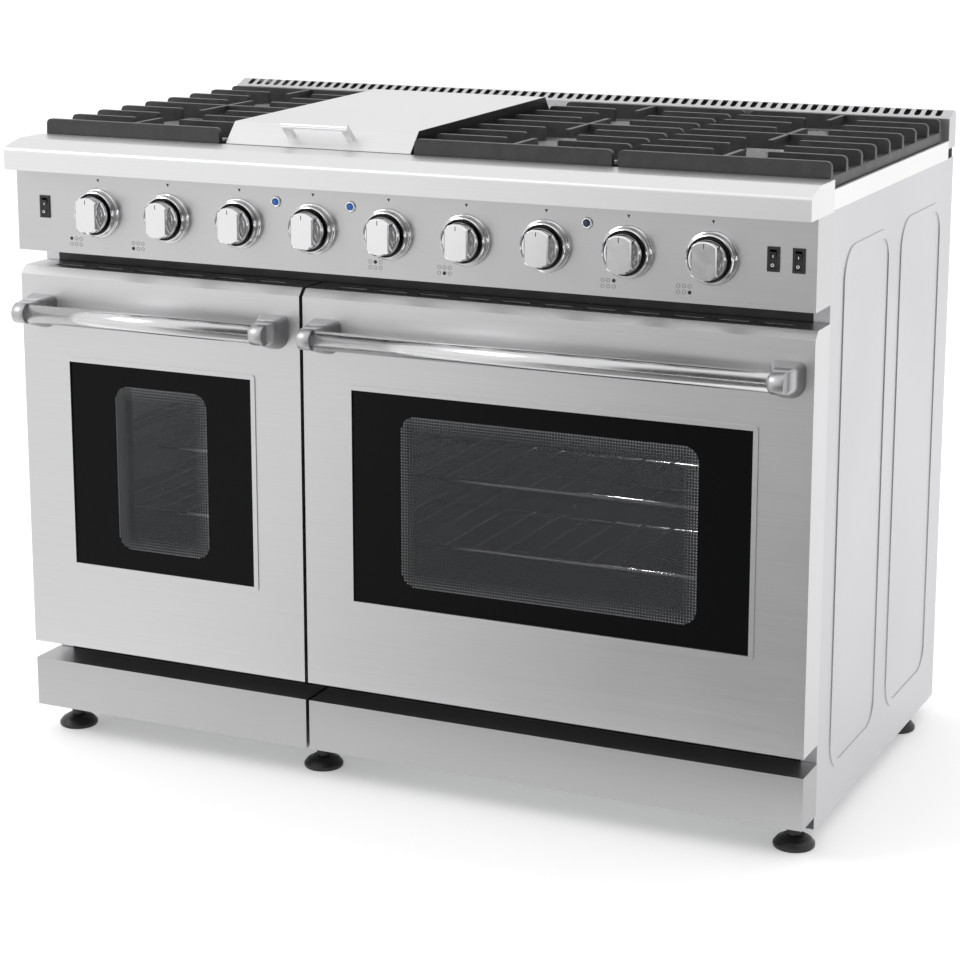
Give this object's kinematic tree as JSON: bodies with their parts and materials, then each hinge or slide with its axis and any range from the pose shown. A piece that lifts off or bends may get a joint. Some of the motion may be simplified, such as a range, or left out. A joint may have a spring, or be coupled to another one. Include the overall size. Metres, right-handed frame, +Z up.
{
  "type": "gas range",
  "caption": "Free-standing stainless gas range with two drop-down oven doors, open burners under cast grates, a covered griddle, a row of knobs and levelling feet.",
  "frame": {"origin": "middle of the footprint on the floor, with the door handles counted in the depth", "axes": "+X to the right seen from the front, +Y to the back, +Z up"},
  "size_m": [1.216, 0.7595, 0.9507],
  "materials": {
    "side_steel": "satin side panels with stamped outlines",
    "front_steel": "horizontally brushed stainless steel",
    "zinc_steel": "zinc-coated sheet",
    "black_enamel": "gloss black enamel",
    "oven_enamel": "dark speckled enamel",
    "chrome": "polished",
    "cast_iron": "matte black cast iron",
    "burner_alloy": "cast, satin",
    "burner_black": "black enamelled cap",
    "griddle_steel": "ground steel plate",
    "wire_chrome": "plated wire",
    "tube_steel": "aluminised steel tube",
    "black_plastic": "moulded black plastic",
    "lamp_lens": "blue lens in a bright ring",
    "brass_fitting": "machined valves on a steel manifold",
    "door_glass": "black-bordered oven glass"
  },
  "bodies": {
    "chassis": {"back_panel": "zinc_steel", "base_frame": "zinc_steel", "bullnose_rail": "front_steel", "burner_caps": "burner_black", "burner_heads": "burner_alloy", "control_panel": "front_steel", "cooktop_pan": "front_steel", "door_hinges": "zinc_steel", "electrical_housings": "black_plastic", "fan_housing": "oven_enamel", "front_frame": "black_enamel", "gas_manifold": "brass_fitting", "indicator_lamps": "lamp_lens", "kick_panels": "front_steel", "knob_bezels": "chrome", "levelling_feet": "black_plastic", "oven_left_liner": "oven_enamel", "oven_right_liner": "oven_enamel", "rear_guard": "front_steel", "side_panels": "side_steel", "tube_burners": "tube_steel"},
    "door_left": {"door_left_skin": "front_steel", "door_left_liner": "oven_enamel", "door_left_glass": "door_glass", "door_left_handle": "chrome"},
    "rack_left_lower": {"rack_left_lower": "wire_chrome"},
    "rack_left_upper": {"rack_left_upper": "wire_chrome"},
    "door_right": {"door_right_skin": "front_steel", "door_right_liner": "oven_enamel", "door_right_glass": "door_glass", "door_right_handle": "chrome"},
    "rack_right_lower": {"rack_right_lower": "wire_chrome"},
    "rack_right_upper": {"rack_right_upper": "wire_chrome"},
    "fan_blade": {"fan_blade": "oven_enamel"},
    "grate_left": {"grate_left": "cast_iron"},
    "grate_middle": {"grate_middle": "cast_iron"},
    "grate_right": {"grate_right": "cast_iron"},
    "griddle_plate": {"griddle_plate": "griddle_steel"},
    "griddle_cover": {"griddle_cover": "front_steel"},
    "valve_stem_1": {"valve_stem_1": "brass_fitting"},
    "knob_1": {"knob_1": "chrome"},
    "valve_stem_2": {"valve_stem_2": "brass_fitting"},
    "knob_2": {"knob_2": "chrome"},
    "valve_stem_3": {"valve_stem_3": "brass_fitting"},
    "knob_3": {"knob_3": "chrome"},
    "valve_stem_4": {"valve_stem_4": "brass_fitting"},
    "knob_4": {"knob_4": "chrome"},
    "valve_stem_5": {"valve_stem_5": "brass_fitting"},
    "knob_5": {"knob_5": "chrome"},
    "valve_stem_6": {"valve_stem_6": "brass_fitting"},
    "knob_6": {"knob_6": "chrome"},
    "valve_stem_7": {"valve_stem_7": "brass_fitting"},
    "knob_7": {"knob_7": "chrome"},
    "valve_stem_8": {"valve_stem_8": "brass_fitting"},
    "knob_8": {"knob_8": "chrome"},
    "valve_stem_9": {"valve_stem_9": "brass_fitting"},
    "knob_9": {"knob_9": "chrome"},
    "rocker_light_left": {"rocker_light_left": "black_plastic"},
    "rocker_light_right": {"rocker_light_right": "black_plastic"},
    "rocker_fan": {"rocker_fan": "black_plastic"}
  },
  "joints": [
    {"name": "door_left", "type": "hinge", "parent": "chassis", "child": "door_left", "pos_m": [-0.375, -0.26525, 0.158], "axis": [1, 0, 0], "range_deg": [0, 90], "stiffness_Nm_per_rad": 13, "springref_deg": -22.92},
    {"name": "door_right", "type": "hinge", "parent": "chassis", "child": "door_right", "pos_m": [0.235, -0.26525, 0.158], "axis": [1, 0, 0], "range_deg": [0, 90], "stiffness_Nm_per_rad": 19, "springref_deg": -22.92},
    {"name": "fan_spin", "type": "hinge", "parent": "chassis", "child": "fan_blade", "pos_m": [0.2355, 0.28075, 0.425], "axis": [0, 1, 0], "continuous": true},
    {"name": "grate_lift_left", "type": "slide", "parent": "chassis", "child": "grate_left", "axis": [0, 0, 1], "range_m": [0, 0.08]},
    {"name": "grate_lift_middle", "type": "slide", "parent": "chassis", "child": "grate_middle", "axis": [0, 0, 1], "range_m": [0, 0.08]},
    {"name": "grate_lift_right", "type": "slide", "parent": "chassis", "child": "grate_right", "axis": [0, 0, 1], "range_m": [0, 0.08]},
    {"name": "griddle_lift", "type": "slide", "parent": "chassis", "child": "griddle_plate", "axis": [0, 0, 1], "range_m": [0, 0.06]},
    {"name": "griddle_cover_lift", "type": "slide", "parent": "griddle_plate", "child": "griddle_cover", "axis": [0, 0, 1], "range_m": [0, 0.1]},
    {"name": "rack_left_lower_slide", "type": "slide", "parent": "chassis", "child": "rack_left_lower", "axis": [0, -1, 0], "range_m": [0, 0.26]},
    {"name": "rack_left_upper_slide", "type": "slide", "parent": "chassis", "child": "rack_left_upper", "axis": [0, -1, 0], "range_m": [0, 0.26]},
    {"name": "rack_right_lower_slide", "type": "slide", "parent": "chassis", "child": "rack_right_lower", "axis": [0, -1, 0], "range_m": [0, 0.26]},
    {"name": "rack_right_upper_slide", "type": "slide", "parent": "chassis", "child": "rack_right_upper", "axis": [0, -1, 0], "range_m": [0, 0.26]},
    {"name": "knob_1_push", "type": "slide", "parent": "chassis", "child": "valve_stem_1", "axis": [0, 1, 0], "range_m": [0, 0.003], "stiffness_N_per_m": 1500},
    {"name": "knob_1_turn", "type": "hinge", "parent": "valve_stem_1", "child": "knob_1", "pos_m": [-0.468, -0.31425, 0.814], "axis": [0, -1, 0], "range_deg": [0, 220]},
    {"name": "knob_2_push", "type": "slide", "parent": "chassis", "child": "valve_stem_2", "axis": [0, 1, 0], "range_m": [0, 0.003], "stiffness_N_per_m": 1500},
    {"name": "knob_2_turn", "type": "hinge", "parent": "valve_stem_2", "child": "knob_2", "pos_m": [-0.351, -0.31425, 0.814], "axis": [0, -1, 0], "range_deg": [0, 220]},
    {"name": "knob_3_push", "type": "slide", "parent": "chassis", "child": "valve_stem_3", "axis": [0, 1, 0], "range_m": [0, 0.003], "stiffness_N_per_m": 1500},
    {"name": "knob_3_turn", "type": "hinge", "parent": "valve_stem_3", "child": "knob_3", "pos_m": [-0.234, -0.31425, 0.814], "axis": [0, -1, 0], "range_deg": [0, 290]},
    {"name": "knob_4_push", "type": "slide", "parent": "chassis", "child": "valve_stem_4", "axis": [0, 1, 0], "range_m": [0, 0.003], "stiffness_N_per_m": 1500},
    {"name": "knob_4_turn", "type": "hinge", "parent": "valve_stem_4", "child": "knob_4", "pos_m": [-0.117, -0.31425, 0.814], "axis": [0, -1, 0], "range_deg": [0, 220]},
    {"name": "knob_5_push", "type": "slide", "parent": "chassis", "child": "valve_stem_5", "axis": [0, 1, 0], "range_m": [0, 0.003], "stiffness_N_per_m": 1500},
    {"name": "knob_5_turn", "type": "hinge", "parent": "valve_stem_5", "child": "knob_5", "pos_m": [0, -0.31425, 0.814], "axis": [0, -1, 0], "range_deg": [0, 220]},
    {"name": "knob_6_push", "type": "slide", "parent": "chassis", "child": "valve_stem_6", "axis": [0, 1, 0], "range_m": [0, 0.003], "stiffness_N_per_m": 1500},
    {"name": "knob_6_turn", "type": "hinge", "parent": "valve_stem_6", "child": "knob_6", "pos_m": [0.117, -0.31425, 0.814], "axis": [0, -1, 0], "range_deg": [0, 220]},
    {"name": "knob_7_push", "type": "slide", "parent": "chassis", "child": "valve_stem_7", "axis": [0, 1, 0], "range_m": [0, 0.003], "stiffness_N_per_m": 1500},
    {"name": "knob_7_turn", "type": "hinge", "parent": "valve_stem_7", "child": "knob_7", "pos_m": [0.234, -0.31425, 0.814], "axis": [0, -1, 0], "range_deg": [0, 290]},
    {"name": "knob_8_push", "type": "slide", "parent": "chassis", "child": "valve_stem_8", "axis": [0, 1, 0], "range_m": [0, 0.003], "stiffness_N_per_m": 1500},
    {"name": "knob_8_turn", "type": "hinge", "parent": "valve_stem_8", "child": "knob_8", "pos_m": [0.351, -0.31425, 0.814], "axis": [0, -1, 0], "range_deg": [0, 220]},
    {"name": "knob_9_push", "type": "slide", "parent": "chassis", "child": "valve_stem_9", "axis": [0, 1, 0], "range_m": [0, 0.003], "stiffness_N_per_m": 1500},
    {"name": "knob_9_turn", "type": "hinge", "parent": "valve_stem_9", "child": "knob_9", "pos_m": [0.468, -0.31425, 0.814], "axis": [0, -1, 0], "range_deg": [0, 220]},
    {"name": "rocker_light_left_tilt", "type": "hinge", "parent": "chassis", "child": "rocker_light_left", "pos_m": [-0.56, -0.29325, 0.818], "axis": [-1, 0, 0], "range_deg": [0, 14]},
    {"name": "rocker_light_right_tilt", "type": "hinge", "parent": "chassis", "child": "rocker_light_right", "pos_m": [0.55, -0.29325, 0.818], "axis": [-1, 0, 0], "range_deg": [0, 14]},
    {"name": "rocker_fan_tilt", "type": "hinge", "parent": "chassis", "child": "rocker_fan", "pos_m": [0.584, -0.29325, 0.818], "axis": [-1, 0, 0], "range_deg": [0, 14]}
  ],
  "couplings": [
    {"joint": "rack_left_lower_slide", "follows": "door_left", "m_per_rad": 0.16},
    {"joint": "rack_left_upper_slide", "follows": "door_left", "m_per_rad": 0.16},
    {"joint": "rack_right_lower_slide", "follows": "door_right", "m_per_rad": 0.16},
    {"joint": "rack_right_upper_slide", "follows": "door_right", "m_per_rad": 0.16}
  ]
}
